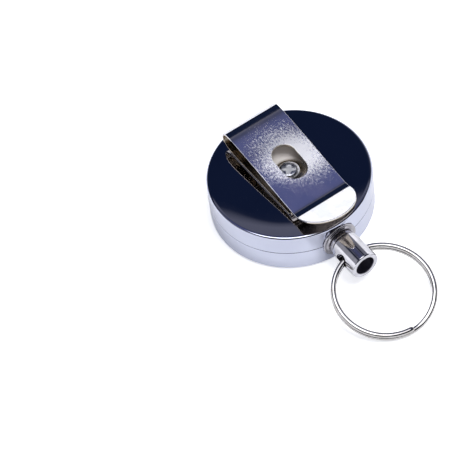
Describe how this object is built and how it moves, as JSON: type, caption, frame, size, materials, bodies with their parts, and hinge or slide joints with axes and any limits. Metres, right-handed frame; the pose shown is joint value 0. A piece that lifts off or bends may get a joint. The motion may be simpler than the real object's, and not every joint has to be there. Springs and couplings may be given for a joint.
{
  "type": "retractable badge reel",
  "caption": "Round chromed reel that pays out a sprung cord ending in a swivel barrel and split ring, with a folded spring-steel belt clip screwed to its back.",
  "frame": {"origin": "centre of the flat front face of the case", "axes": "+Z from the front face through the case to the belt clip; the cord leaves the side wall towards -Y, so +Y points from the split ring to the clip's fold; +X across the clip"},
  "size_m": [0.04, 0.0697, 0.0174],
  "materials": {
    "chrome": "mirror-polished chrome plate",
    "clip_steel": "nickel-plated spring steel, finely scratched satin on the leaf and polished on the tongue",
    "nickel": "nickel plate",
    "zinc_steel": "zinc plate",
    "spring_steel": "oiled spring steel strip",
    "brass": "plain brass",
    "black_plastic": "moulded matt",
    "white_plastic": "moulded acetal",
    "cord": "braided nylon"
  },
  "bodies": {
    "case": {"front_shell": "chrome", "back_shell": "chrome", "inner_housing": "black_plastic", "exit_bushing": "chrome", "bushing_retainer": "zinc_steel", "centre_post": "zinc_steel", "spool_washer": "white_plastic", "mainspring": "spring_steel", "cord_inner_run": "cord", "clip_base": "clip_steel", "clip_screw": "zinc_steel"},
    "spool": {"spool_drum": "white_plastic", "spool_flange": "white_plastic", "cord_winding": "cord", "cord_anchor": "cord"},
    "cord_end": {"cord_lead": "cord", "cord_crimp": "brass"},
    "end_fitting": {"sleeve_cap": "chrome", "sleeve": "chrome"},
    "ring": {"split_ring": "nickel"},
    "clip_spring": {"clip_leaf": "clip_steel"}
  },
  "joints": [
    {"name": "cord_pull", "type": "slide", "parent": "case", "child": "cord_end", "axis": [0, -1, 0], "range_m": [0, 0.6], "stiffness_N_per_m": 1.7, "springref_m": -0.9},
    {"name": "spool_spin", "type": "hinge", "parent": "case", "child": "spool", "pos_m": [0, 0, 0.0055], "axis": [0, 0, 1], "range_deg": [-2400, 0], "deforming": ["mainspring", "cord_winding"]},
    {"name": "sleeve_swivel", "type": "hinge", "parent": "cord_end", "child": "end_fitting", "pos_m": [0, -0.0256, 0.006], "axis": [0, -1, 0], "continuous": true},
    {"name": "ring_swing", "type": "hinge", "parent": "end_fitting", "child": "ring", "pos_m": [0, -0.0256, 0.006], "axis": [-1, 0, 0], "range_deg": [-103, 126]},
    {"name": "clip_flex", "type": "hinge", "parent": "case", "child": "clip_spring", "pos_m": [0, 0.01676, 0.0149], "axis": [-1, 0, 0], "range_deg": [0, 8], "stiffness_Nm_per_rad": 2}
  ],
  "couplings": [
    {"joint": "spool_spin", "follows": "cord_pull", "rad_per_m": -68.5}
  ]
}
